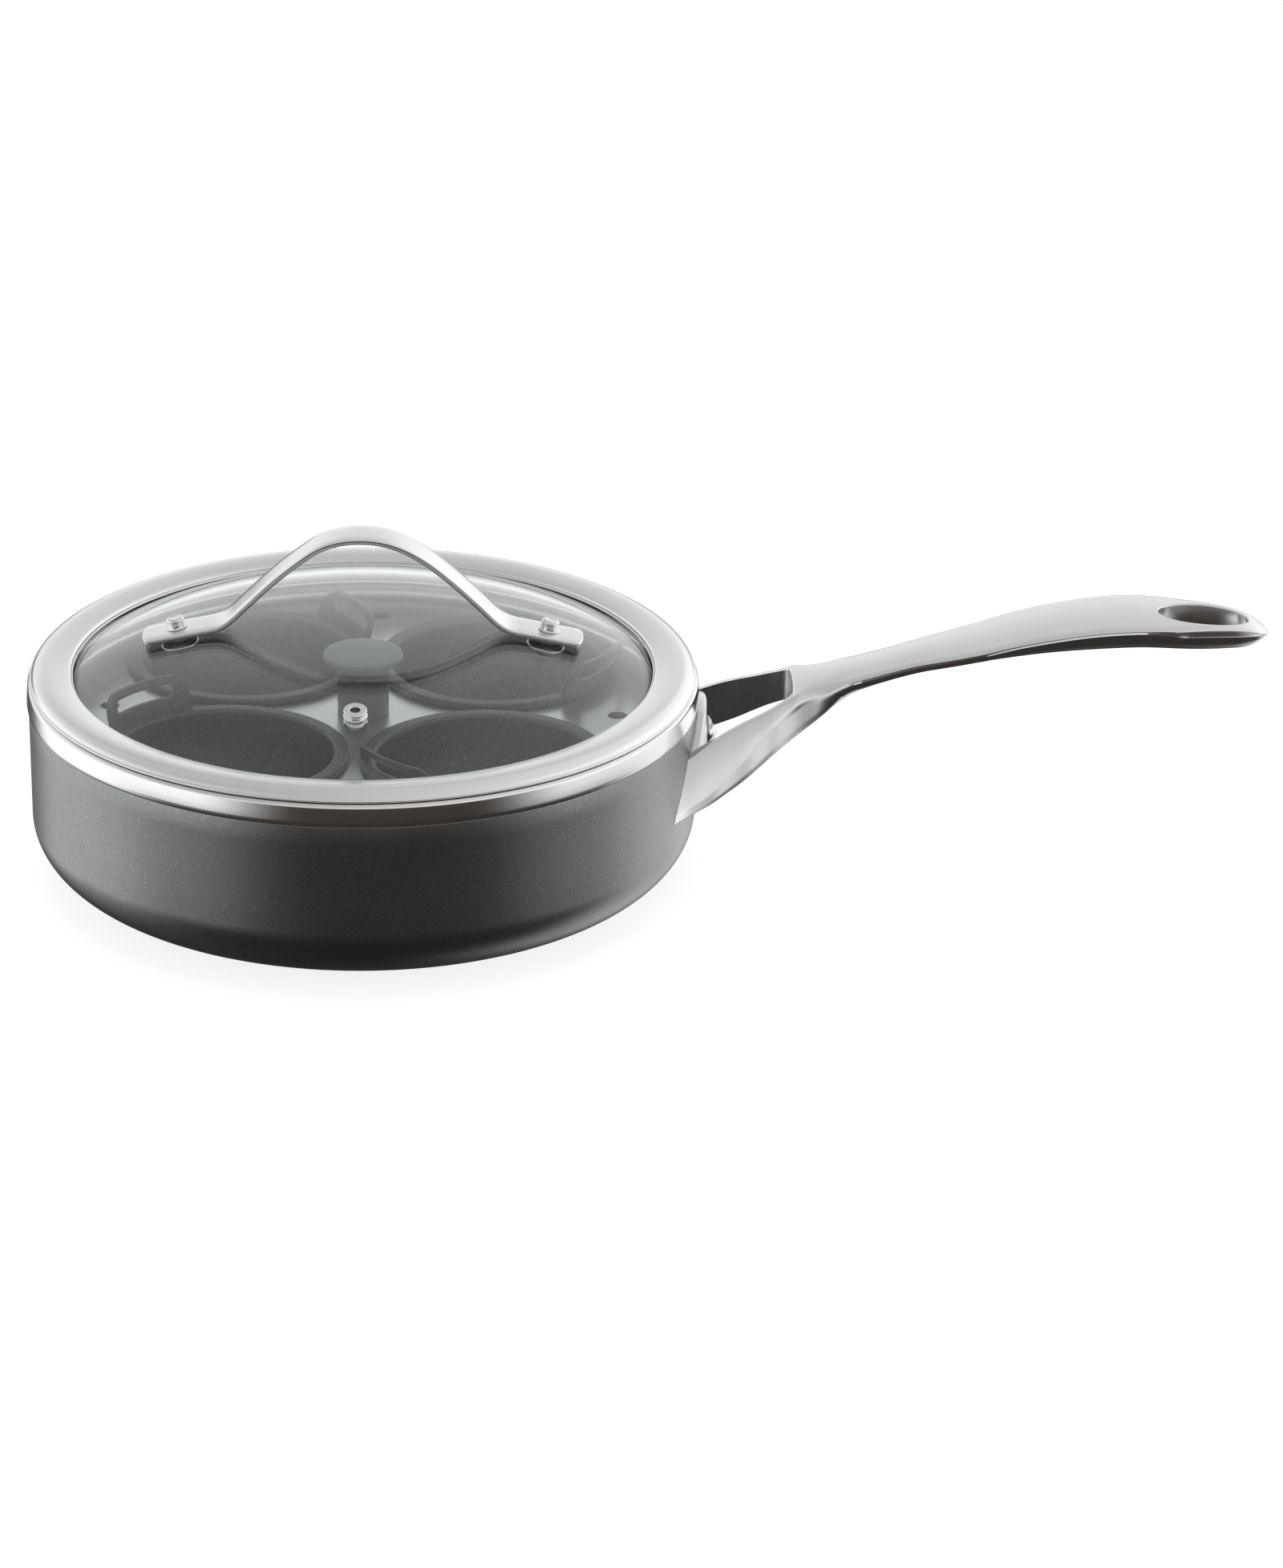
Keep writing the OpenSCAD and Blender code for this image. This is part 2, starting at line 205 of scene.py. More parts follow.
# ------------------------------------------------------------------ materials
class Mat:
    def __init__(self, name):
        self.m = bpy.data.materials.new(name)
        self.m.use_nodes = True
        self.nt = self.m.node_tree
        self.nt.nodes.clear()
        self.out = self.nt.nodes.new("ShaderNodeOutputMaterial")
        self.b = self.nt.nodes.new("ShaderNodeBsdfPrincipled")
        self.nt.links.new(self.b.outputs[0], self.out.inputs[0])
        self.tc = self.nt.nodes.new("ShaderNodeTexCoord")

    def n(self, kind, **props):
        x = self.nt.nodes.new("ShaderNode" + kind)
        for k, val in props.items():
            setattr(x, k, val)
        return x

    def link(self, a, b):
        self.nt.links.new(a, b)

    def set(self, **kw):
        for k, val in kw.items():
            self.b.inputs[k.replace("_", " ")].default_value = val

    def noise(self, scale, detail=3.0, rough=0.5, vec=None):
        x = self.n("TexNoise")
        x.inputs["Scale"].default_value = scale
        x.inputs["Detail"].default_value = detail
        x.inputs["Roughness"].default_value = rough
        self.link(vec if vec is not None else self.tc.outputs["Object"], x.inputs["Vector"])
        return x.outputs["Fac"]

    def stretch(self, sx, sy, sz, vec=None):
        x = self.n("Mapping")
        x.inputs["Scale"].default_value = (sx, sy, sz)
        self.link(vec if vec is not None else self.tc.outputs["Object"], x.inputs["Vector"])
        return x.outputs["Vector"]

    def polar(self, k_ang, k_r, k_z):
        """(angle, radius, height) of a point about the Z axis, scaled"""
        s = self.n("SeparateXYZ")
        self.link(self.tc.outputs["Object"], s.inputs[0])
        a = self.n("Math", operation="ARCTAN2")
        self.link(s.outputs[1], a.inputs[0])
        self.link(s.outputs[0], a.inputs[1])
        r2 = self.n("Math", operation="MULTIPLY")
        self.link(s.outputs[0], r2.inputs[0]); self.link(s.outputs[0], r2.inputs[1])
        r3 = self.n("Math", operation="MULTIPLY_ADD")
        self.link(s.outputs[1], r3.inputs[0]); self.link(s.outputs[1], r3.inputs[1]); self.link(r2.outputs[0], r3.inputs[2])
        rr = self.n("Math", operation="SQRT")
        self.link(r3.outputs[0], rr.inputs[0])
        comb = self.n("CombineXYZ")
        for src, k, i in ((a.outputs[0], k_ang, 0), (rr.outputs[0], k_r, 1), (s.outputs[2], k_z, 2)):
            mu = self.n("Math", operation="MULTIPLY")
            mu.inputs[1].default_value = k
            self.link(src, mu.inputs[0])
            self.link(mu.outputs[0], comb.inputs[i])
        return comb.outputs[0]

    def span(self, fac, lo, hi, f0=0.0, f1=1.0):
        x = self.n("MapRange")
        x.inputs["From Min"].default_value = f0
        x.inputs["From Max"].default_value = f1
        x.inputs["To Min"].default_value = lo
        x.inputs["To Max"].default_value = hi
        self.link(fac, x.inputs["Value"])
        return x.outputs["Result"]

    def ramp(self, fac, stops):
        x = self.n("ValToRGB")
        el = x.color_ramp.elements
        el[0].position, el[0].color = stops[0][0], (*stops[0][1], 1)
        el[1].position, el[1].color = stops[-1][0], (*stops[-1][1], 1)
        for p, col in stops[1:-1]:
            e = el.new(p)
            e.color = (*col, 1)
        self.link(fac, x.inputs["Fac"])
        return x.outputs["Color"]

    def bump(self, fac, strength, dist, prev=None):
        x = self.n("Bump")
        x.inputs["Strength"].default_value = strength
        x.inputs["Distance"].default_value = dist
        self.link(fac, x.inputs["Height"])
        if prev is not None:
            self.link(prev, x.inputs["Normal"])
        return x.outputs["Normal"]

    def use(self, out, sock):
        self.link(out, self.b.inputs[sock])


def g(x, w=0.0):
    return (x + w, x, x - w)


def anodised():
    m = Mat("anodised_body")
    m.set(Metallic=1.0)
    fine = m.noise(1700, 2, 0.7)
    grains = m.noise(1100, 3, 0.75)
    mx = m.n("MixRGB", blend_type="ADD")
    mx.inputs[0].default_value = 1.0
    m.link(m.ramp(m.noise(10, 3), [(0.3, g(0.25, -0.003)), (0.7, g(0.28, -0.003))]), mx.inputs[1])
    m.link(m.ramp(grains, [(0.34, g(0.0)), (0.56, g(0.02)), (0.72, g(0.13))]), mx.inputs[2])
    m.use(mx.outputs[0], "Base Color")
    m.use(m.span(m.noise(55, 3), 0.31, 0.37), "Roughness")
    m.use(m.bump(fine, 0.16, 0.00006), "Normal")
    return m.m


def steel(name, base, rough, kind="polar", grain=0.02, aniso=0.0, warm=0.004, lines_bump=0.02):
    m = Mat(name)
    m.set(Metallic=1.0)
    if aniso:
        m.set(Anisotropic=aniso)
    if kind == "polar":          # spun: fine lines round the axis
        lines = m.noise(1.0, 3, 0.5, m.polar(2.0, 2600, 2600))
        broad = m.noise(1.0, 2, 0.5, m.polar(1.6, 40, 40))
    elif kind == "x":            # brushed along X
        lines = m.noise(1.0, 3, 0.5, m.stretch(60, 3200, 3200))
        broad = m.noise(1.0, 2, 0.5, m.stretch(18, 60, 60))
    else:                        # cast and tumbled
        lines = m.noise(700, 3, 0.5)
        broad = m.noise(26, 2, 0.5)
    m.use(m.ramp(broad, [(0.25, g(base * 0.97, warm)), (0.75, g(base * 1.03, warm))]), "Base Color")
    r1 = m.span(lines, rough - grain, rough + grain, 0.25, 0.75)
    add = m.n("Math", operation="ADD")
    m.link(r1, add.inputs[0])
    m.link(m.span(broad, -0.012, 0.015), add.inputs[1])
    m.use(add.outputs[0], "Roughness")
    m.use(m.bump(lines, lines_bump, 0.00002), "Normal")
    return m.m


def nonstick():
    m = Mat("cup_nonstick")
    m.set(Metallic=0.0, Specular_IOR_Level=0.75)
    sp = m.noise(1300, 2, 0.6)
    sp2 = m.noise(520, 3, 0.6)
    mx = m.n("MixRGB", blend_type="ADD")
    mx.inputs[0].default_value = 0.5
    m.link(m.ramp(sp, [(0.35, g(0.018, -0.001)), (0.6, g(0.027, -0.001)), (0.74, g(0.16, -0.003))]), mx.inputs[1])
    m.link(m.ramp(sp2, [(0.4, g(0.0)), (0.75, g(0.025))]), mx.inputs[2])
    m.use(mx.outputs[0], "Base Color")
    m.use(m.span(m.noise(80, 3), 0.36, 0.46), "Roughness")
    m.use(m.bump(sp, 0.22, 0.00006), "Normal")
    return m.m


def knob_mat():
    m = Mat("knob_plastic")
    m.set(Specular_IOR_Level=0.5)
    m.use(m.ramp(m.noise(40, 3), [(0.3, g(0.14, -0.006)), (0.7, g(0.16, -0.006))]), "Base Color")
    m.use(m.span(m.noise(120, 3), 0.36, 0.44), "Roughness")
    m.use(m.bump(m.noise(1800, 2), 0.06, 0.00003), "Normal")
    return m.m


def glass():
    m = Mat("lid_glass")
    m.set(Roughness=0.0, IOR=1.46, Transmission_Weight=1.0)
    m.use(m.ramp(m.noise(9, 2), [(0.3, (0.90, 0.93, 0.935)), (0.7, (0.915, 0.94, 0.945))]), "Base Color")
    lp = m.n("LightPath")
    tr = m.n("BsdfTransparent")
    tr.inputs[0].default_value = (0.9, 0.92, 0.92, 1)
    mix = m.n("MixShader")
    m.link(lp.outputs["Is Shadow Ray"], mix.inputs[0])
    m.link(m.b.outputs[0], mix.inputs[1])
    m.link(tr.outputs[0], mix.inputs[2])
    m.link(mix.outputs[0], m.out.inputs[0])
    return m.m


def silicone():
    m = Mat("silicone")
    m.set(Specular_IOR_Level=0.4)
    m.use(m.ramp(m.noise(60, 3), [(0.3, g(0.15)), (0.7, g(0.19))]), "Base Color")
    m.use(m.span(m.noise(300, 3), 0.4, 0.55), "Roughness")
    return m.m


MAT = {
    "anodised_body": anodised(),
    "cast_steel": steel("cast_steel", 0.76, 0.24, "cast", 0.02),
    "ring_steel": steel("ring_steel", 0.80, 0.21, "polar", 0.02, 0.25),
    "band_steel": steel("band_steel", 0.76, 0.15, "polar", 0.025, 0.3),
    "strap_steel": steel("strap_steel", 0.80, 0.20, "x", 0.02),
    "small_steel": steel("small_steel", 0.76, 0.18, "cast", 0.02),
    "tray_steel": steel("tray_steel", 0.82, 0.30, "polar", 0.03, 0.25),
    "cup_nonstick": nonstick(),
    "knob_plastic": knob_mat(),
    "lid_glass": glass(),
    "silicone": silicone(),
}

# ------------------------------------------------------------------ pan body
def bend_up(r0, r1, z0, h, n=28):
    return [(r0 + (r1 - r0) * math.sin(rad(90 * i / n)), z0 + h * (1 - math.cos(rad(90 * i / n)))) for i in range(n + 1)]


def wall_r(z):
    return 104.4 - 0.014 * (56.6 - z)


prof = [(0, 0), (40, 0)] + bend_up(75, wall_r(21), 0, 21) + [(wall_r(z), z) for z in (30, 40, 50)]
prof += [(104.4, 56.4)] + arc(104.2, 56.4, 0.2, 0, 90, 4) + [(103.7, 56.6)]
prof += arc(103.2, 62.4, 0.5, 0, 90, 5) + arc(101.9, 62.4, 0.5, 90, 180, 5)
prof += [(101.4, 56.6)] + bend_up(76, wall_r(21) - 3, 4, 19)[::-1] + [(40, 4), (0, 4)]
place(lathe("pan_body_shell", prof, 320), "pan", "anodised_body", MAT["anodised_body"], "pan_body")

# ------------------------------------------------------------------ tray
prof = [(0, 50.3), (93.6, 50.3)] + arc(93.6, 54.6, 4.3, -90, 0, 10) + arc(99.9, 61.8, 1.4, 180, 90, 8)
prof += arc(103.3, 62.5, 0.7, 90, 0, 6) + [(104.0, 57.15), (104.15, 57.0), (104.7, 57.0), (104.86, 57.12), (104.92, 57.4), (104.91, 58.4), (104.84, 60.2)]
prof += arc(103.1, 62.5, 1.6, 2, 90, 10) + arc(99.9, 61.8, 2.3, 90, 180, 10) + arc(93.6, 54.6, 3.4, 0, -90, 10)
prof += [(0, 51.2)]
tray = lathe("tray_shell", prof, 320)
cutters = []


def cyl(name, r, x, y, z0, z1, n=96):
    ob = lathe(name, [(0, z0), (r, z0), (r, z1), (0, z1)], n)
    ob.data.transform(Matrix.Translation((x * MM, y * MM, 0)))
    return ob


TURN = -4.0
cup_xy = [(55.9 * math.cos(rad(45 + 90 * k + TURN)), 55.9 * math.sin(rad(45 + 90 * k + TURN))) for k in range(4)]
for k, (x, y) in enumerate(cup_xy):
    cutters.append(cyl("cut", 35.2, x, y, 40, 60, 128))
for k in range(4):
    a = rad(90 * k + TURN)
    cutters.append(cyl("cut", 3.0, 79 * math.cos(a), 79 * math.sin(a), 40, 60, 48))
boolean(tray, cutters)
tidy(tray, 30)
place(tray, "tray", "tray_steel", MAT["tray_steel"], "tray")
# the polished skirt gets its own finish
tray.data.materials.append(MAT["band_steel"])
for p in tray.data.polygons:
    cx, cy, cz = p.center
    if math.hypot(cx, cy) > 0.1025:
        p.material_index = 1

# ------------------------------------------------------------------ knob
prof = [(0, 51.25), (7.7, 51.25), (7.95, 51.5), (8.0, 60), (8.0, 65.8)] + arc(9.6, 65.8, 1.6, 180, 90, 8)
prof += [(11.7, 67.7)] + arc(11.55, 68.85, 1.0, -65, 74, 12) + [(11.5, 69.86), (11.2, 69.92), (10, 70.02), (6, 70.18), (2, 70.28), (0, 70.3)]
place(lathe("knob_turned", prof, 160), "tray", "knob_plastic", MAT["knob_plastic"], "tray_knob")

# ------------------------------------------------------------------ cups
mouth = 33.0
depth = 25.0
prof = [(15 + (mouth - 15) * math.sin(rad(a)), -1.2 - (depth - 1.2) * math.cos(rad(a))) for a in np.linspace(0, 90, 36)]
prof = [(0, -depth), (8, -depth)] + prof
prof += arc(mouth + 1.3, -1.3, 1.3, 170, 90, 8) + arc(37.1, -0.9, 0.9, 90, 0, 8)
prof += arc(37.7, -1.6, 0.3, 0, -90, 3) + [(37.0, -1.85), (36.9, -1.3), (mouth + 1.3, -1.3)]
prof += [(15 + (mouth - 13.75) * math.sin(rad(a)), -2.4 - (depth - 1.2) * math.cos(rad(a))) for a in np.linspace(90, 0, 28)]
prof += [(0, -1.2 - depth)]
TAB_H, LEAN = 10.0, rad(16)


def round_rect(x0, x1, y0, y1, r, n=7, low=None):
    low = r if low is None else low
    pts = []
    for cx, cy, rr, a0 in ((x1 - r, y1 - r, r, 0), (x0 + r, y1 - r, r, 90), (x0 + low, y0 + low, low, 180), (x1 - low, y0 + low, low, 270)):
        if rr < 0.01:
            pts.append((cx, cy))
        else:
            pts += arc(cx, cy, rr, a0, a0 + 90, n)
    return pts


def dense(poly, step=0.7):
    out = []
    for i, p in enumerate(poly):
        q = poly[(i + 1) % len(poly)]
        d = math.hypot(q[0] - p[0], q[1] - p[1])
        k = max(1, int(math.ceil(d / step)))
        for j in range(k):
            out.append((p[0] + (q[0] - p[0]) * j / k, p[1] + (q[1] - p[1]) * j / k))
    return out


def tab_mesh():
    outer = dense(round_rect(-16.8, 16.8, -0.9, TAB_H, 6.0, 14, 0.0))
    slot = dense(round_rect(-12.0, 12.0, 3.8, 7.6, 1.89, 8))
    pts = [Vector(p) for p in outer + slot]
    no, ns = len(outer), len(slot)
    edges = [(i, (i + 1) % no) for i in range(no)] + [(no + i, no + (i + 1) % ns) for i in range(ns)]

    def inside(p, poly):
        hit = False
        for i in range(len(poly)):
            a, b = poly[i], poly[(i + 1) % len(poly)]
            if (a[1] > p[1]) != (b[1] > p[1]) and p[0] < (b[0] - a[0]) * (p[1] - a[1]) / (b[1] - a[1]) + a[0]:
                hit = not hit
        return hit

    for gx in np.arange(-16.4, 16.5, 0.9):
        for gy in np.arange(-0.3, TAB_H, 0.9):
            p = (float(gx), float(gy))
            if inside(p, outer) and not inside(p, slot) and min(math.hypot(p[0] - q[0], p[1] - q[1]) for q in outer + slot) > 0.45:
                pts.append(Vector(p))
    vs, es, fs, _, _, _ = delaunay_2d_cdt(pts, edges, [], 0, 1e-5)
    keep = []
    for f in fs:
        cx = sum(vs[i][0] for i in f) / len(f)
        cy = sum(vs[i][1] for i in f) / len(f)
        if inside((cx, cy), outer) and not inside((cx, cy), slot):
            keep.append(f)
    verts, faces = [], []
    t_ = 1.5
    for side in (0, 1):
        for q in vs:
            h = q[1]
            r = 36.25 + 0.9 * math.tan(LEAN) + h * math.tan(LEAN) + (t_ / math.cos(LEAN)) * side
            a = math.asin(max(-1, min(1, q[0] / (37.8 + 0.3 * h))))
            verts.append((r * math.cos(a), r * math.sin(a), h))
    nv = len(vs)
    for f in keep:
        faces.append(tuple(f))
        faces.append(tuple(nv + i for i in reversed(f)))
    count = {}
    for f in keep:
        for i in range(len(f)):
            a, b = f[i], f[(i + 1) % len(f)]
            count[(a, b)] = count.get((a, b), 0) + 1
    for (a, b) in list(count):
        if (b, a) not in count:
            faces.append((a, b, nv + b, nv + a))
    ob = make("tab", verts, faces, 40)
    m = ob.modifiers.new("bevel", "BEVEL")
    m.width = 0.5 * MM
    m.segments = 3
    m.limit_method = "ANGLE"
    m.angle_limit = rad(50)
    m.harden_normals = False
    apply_mods(ob)
    tidy(ob, 60)
    return ob


tab_proto = tab_mesh()
cup_dirs = [-32, 27, 133, 222]
for k, (x, y) in enumerate(cup_xy):
    ob = lathe("cup_bowl_%d" % (k + 1), prof, 200)
    me2 = tab_proto.data.copy()
    bm = bmesh.new()
    bm.from_mesh(ob.data)
    bm.from_mesh(me2)
    bm.to_mesh(ob.data)
    bm.free()
    bpy.data.meshes.remove(me2)
    ob.data.transform(Matrix.Translation((x * MM, y * MM, 53.5 * MM)) @ Matrix.Rotation(rad(cup_dirs[k]), 4, "Z"))
    place(ob, "cup_" + "abcd"[k], "cup_nonstick", MAT["cup_nonstick"], "cup_%d" % (k + 1))
me = tab_proto.data
bpy.data.objects.remove(tab_proto)
bpy.data.meshes.remove(me)

# ------------------------------------------------------------------ lid: glass and ring
GT = 3.2


def glass_z(r):
    q = r / 90.6
    return 81.2 - 16.3 * (0.433 * q * q + 0.567 * q ** 4)


def glass_a(r):
    q = r / 90.6
    return math.atan(16.3 / 90.6 * (2 * 0.433 * q + 4 * 0.567 * q ** 3))


def glass_low(r):
    return glass_z(r) - GT / math.cos(glass_a(r))


rr = np.linspace(0, 93.9, 64)
prof = [(r, glass_z(r)) for r in rr] + [(94.15, glass_z(94.15) - 0.35), (94.15, glass_low(94.15) + 0.35)]
prof += [(r, glass_low(r)) for r in rr[::-1]]
place(lathe("dome_glass", prof, 256), "lid", "lid_glass", MAT["lid_glass"], "lid_glass")

top = [(103.1, 64.45), (103.95, 64.45)] + arc(103.75, 64.78, 0.3, -60, 100, 6) + [(103.5, 65.25), (103.38, 65.42)]
top += curve([(103.3, 65.6), (102.8, 66.35), (101.9, 67.05), (100.4, 67.75), (98.4, 68.02), (96, 67.92),
              (93.8, 67.6), (92.4, 67.3), (91.5, 67.0), (91.05, 66.55), (90.85, 65.9)], 6)
top += arc(90.68, 65.58, 0.22, 60, 250, 8)
under = [(91.2, 65.45), (91.5, 66.0), (92.3, 66.45), (94, 66.8), (94.5, 66.9), (94.5, 58.3), (94.3, 58.1), (91, 58.1), (91, 57.5),
         (94.9, 57.5), (95.3, 57.9), (95.3, 67.0), (96, 67.15), (98.4, 67.25), (100.2, 66.95), (101.4, 66.45), (102.3, 65.7), (102.9, 64.9)]
ring = lathe("ring_rolled", [tuple(p) for p in top] + under, 360, 50)
# butt seam of the rolled strip, at the back
seam = loft("cut", [[(3.6, y, 64.6), (3.78, y, 64.6), (3.78, y, 70), (3.6, y, 70)] for y in (95.6, 106.0)])
boolean(ring, [seam])
tidy(ring, 50)
place(ring, "lid", "polished_steel", MAT["ring_steel"], "lid_rim")

# ------------------------------------------------------------------ lid: strap handle
foot_a = glass_a(57.4)
foot = (57.4 + 2.73 * math.sin(foot_a), glass_z(57.4) + 2.73 * math.cos(foot_a))


def on_foot(s, x):
    return (s * x, foot[1] - (x - foot[0]) * math.tan(foot_a))


tips = [68.78, 68.76, 68.7, 68.55, 68.3, 68.0, 67.7, 67.45, 67.3, 67.15, 66.8, 64]
line = [on_foot(-1, u) for u in tips] + [on_foot(-1, 60)]
line += [tuple(p) for p in curve([on_foot(-1, 55), on_foot(-1, 50), on_foot(-1, 47.2), (-44.6, 82.6), (-41.6, 84.7), (-36.6, 89.6), (-29.2, 96.8),
        (-21.4, 103.4), (-14.2, 108.5), (-7.4, 111), (0, 111.7), (7.2, 110.9), (14, 108.4), (21.2, 104), (29.2, 97.4),
        (37, 90), (41.8, 85.1), (44.8, 82.8), on_foot(1, 47.6), on_foot(1, 50), on_foot(1, 55)], 6)]
line += [on_foot(1, 60)] + [on_foot(1, u) for u in tips[::-1]]
line = [np.array(p) for p in line]
rings = []
for i, p in enumerate(line):
    d = line[min(i + 1, len(line) - 1)] - line[max(i - 1, 0)]
    d /= np.linalg.norm(d)
    nrm = np.array([d[1], -d[0]])            # points down, off the outer face
    u_ = abs(p[0])
    if u_ > 67.4:                            # shallow arc of the end, with small round corners
        w = 6.15 * math.sqrt(max(0.0, 1 - ((u_ - 67.4) / 1.39) ** 2))
    elif u_ > 67.0:
        w = 6.15 + 0.3 * math.sqrt(max(0.0, 1 - ((u_ - 67.0) / 0.4) ** 2))
    else:
        w = 6.45
    q_ = min(1.0, w / 1.2)
    th = 1.75
    lift = 0.3 * (1 - min(1.0, w / 2.6))     # the end's upper edge is rounded over
    sec = []
    for yy, tt in ((-w + 0.4 * q_, 0.0 + lift), (-w * 0.5, -0.05 + lift), (0, -0.06 + lift), (w * 0.5, -0.05 + lift), (w - 0.4 * q_, 0.0 + lift),
                   (w - 0.24 * q_, 0.04 + lift), (w - 0.1 * q_, 0.14 + lift), (w - 0.02 * q_, 0.27 + lift), (w, 0.42 + lift),
                   (w, th - 0.28), (w - 0.07 * q_, th - 0.1), (w - 0.28 * q_, th), (0, th), (-w + 0.28 * q_, th), (-w + 0.07 * q_, th - 0.1),
                   (-w, th - 0.28), (-w, 0.42 + lift), (-w + 0.02 * q_, 0.27 + lift), (-w + 0.1 * q_, 0.14 + lift), (-w + 0.24 * q_, 0.04 + lift)):
        q = p + nrm * (tt + 0.07)
        sec.append((q[0], yy, q[1]))
    rings.append(sec)
strap = loft("strap_bent", rings, 45)
strap.data.transform(Matrix.Rotation(rad(-2), 4, "Z"))
place(strap, "lid", "polished_steel", MAT["strap_steel"], "lid_handle")


def on_dome(r, direction):
    return (Matrix.Rotation(rad(direction), 4, "Z") @ Matrix.Translation((r, 0, glass_z(r)))
            @ Matrix.Rotation(glass_a(r), 4, "Y"))


def pair(name, prof, mat, slot, node, n=96):
    obs = [lathe(name, prof, n, 40, on_dome(57.4, -2 + s)) for s in (0, 180)]
    bm = bmesh.new()
    for o in obs:
        bm.from_mesh(o.data)
    bm.to_mesh(obs[0].data)
    bm.free()
    me_ = obs[1].data
    bpy.data.objects.remove(obs[1])
    bpy.data.meshes.remove(me_)
    return place(obs[0], "lid", slot, mat, node)


stud = [(0, -6.6), (1.3, -6.6), (1.75, -6.45), (1.88, -6.15), (1.88, -5.62), (2.9, -5.42), (3.08, -5.25), (3.08, -4.87), (2.35, -4.87), (2.35, 2.78), (3.1, 2.78)]
stud += arc(3.12, 3.0, 0.22, -60, 80, 4)
stud += [(2.88, 3.28), (2.8, 3.5), (2.81, 5.2), (2.84, 5.5)] + arc(2.05, 5.53, 0.8, 0, 90, 8) + [(1.8, 6.32), (1.6, 6.25), (0, 6.2)]
pair("studs_round", stud, MAT["small_steel"], "polished_steel", "lid_rivets")
pair("sleeves", [(2.45, -3.2), (3.3, -3.2), (3.3, 0), (2.45, 0)], MAT["silicone"], "silicone", "lid_sleeves")
pair("gaskets_upper", [(2.45, 0.06), (5.35, 0.04), (5.55, 0.2), (5.55, 0.7), (5.4, 0.86), (2.45, 0.86)], MAT["silicone"], "silicone", "lid_gaskets")
pair("gaskets_lower", [(2.45, -3.95), (5.3, -3.95), (5.48, -3.8), (5.48, -3.55), (5.35, -3.42), (2.45, -3.42)], MAT["silicone"], "silicone", "lid_gaskets_under")
pair("washers_lower", [(2.45, -4.8), (5.7, -4.8)] + arc(5.55, -4.42, 0.34, -60, 90, 8) + [(5.4, -4.02), (2.45, -4.02)],
     MAT["small_steel"], "polished_steel", "lid_backing_washers")

eye = [(1.5, 2.35)] + arc(1.9, 2.32, 0.38, 180, 90, 5) + arc(3.2, 2.25, 0.45, 90, -40, 8) + [(3.1, 1.7), (2.95, 1.4), (2.92, 1.0), (3.2, 0.75)]
eye += arc(3.5, 0.4, 0.29, 60, -90, 5) + [(2.92, 0.1), (2.92, -3.25), (3.7, -3.3)] + arc(3.3, -3.7, 0.45, 20, -90, 5) + [(1.9, -4.25), (1.5, -4.0)]
place(lathe("eyelet_spun", eye, 128, 40, on_dome(62.6, -92.25)), "lid", "polished_steel", MAT["small_steel"], "vent_eyelet")

# ------------------------------------------------------------------ long handle: lofts fused into one casting
def lerp(x, xs, ys):
    return float(np.interp(x, xs, ys))


def smooth_fn(pts):
    c_ = np.array(curve(pts, 8))
    order = np.argsort(c_[:, 0], kind="stable")
    xs, ys = c_[order, 0], c_[order, 1]
    return lambda x: float(np.interp(x, xs, ys))


half_w = smooth_fn([(134, 12), (145, 11.6), (153, 11.2), (162.6, 10.9), (172.7, 11.4), (182.7, 12.9), (192.8, 14.1), (202.8, 14.9),
                    (212.8, 15.6), (222.9, 16), (232.9, 16.2), (242.9, 16), (253, 15.3), (263, 13.6), (270, 11.7), (275, 9.8),
                    (279.5, 6.9), (282.2, 3.3), (282.9, 0.7)])
edge_z = smooth_fn([(134, 60.2), (142, 62), (147.6, 63.4), (152.6, 64.7), (162.6, 67.4), (172.7, 70.2), (182.7, 72.5), (192.8, 74.9),
                    (202.8, 77.7), (212.8, 79.9), (222.9, 81.6), (232.9, 82.7), (242.9, 83.0), (253, 82.5), (263, 81.9),
                    (273, 80.6), (283, 78.2)])
low_z = smooth_fn([(134, 49), (138, 51.2), (143, 54), (148, 56.8), (155, 60), (162.6, 62.7), (172.7, 65.7), (182.7, 68),
                   (192.8, 70.1), (202.8, 71.7), (212.8, 73), (222.9, 73.8), (232.9, 74.3), (242.9, 74.5), (253, 73.9),
                   (263, 73.2), (273, 73.1), (279, 74.0), (283, 75.6)])


def ease(x, a, b):
    s_ = min(1.0, max(0.0, (x - a) / (b - a)))
    return s_ * s_ * (3 - 2 * s_)


def grip_keys(x):
    w, ze, zb = half_w(x), edge_z(x), low_z(x)
    h = ze - zb
    cr = 1.0 * min(1.0, w / 10)
    soft = ease(x, 240, 266)
    return {"T": (0, ze + cr), "It": (0.38 * w, ze + 0.9 * cr), "Et": (0.68 * w, ze + 0.62 * cr),
            "C": ((0.985 - 0.075 * soft) * w, ze - 0.15 * soft), "Eb": (0.8 * w, zb + 0.25 * h), "Ib": (0.5 * w, zb + 0.03 * h), "B": (0, zb)}


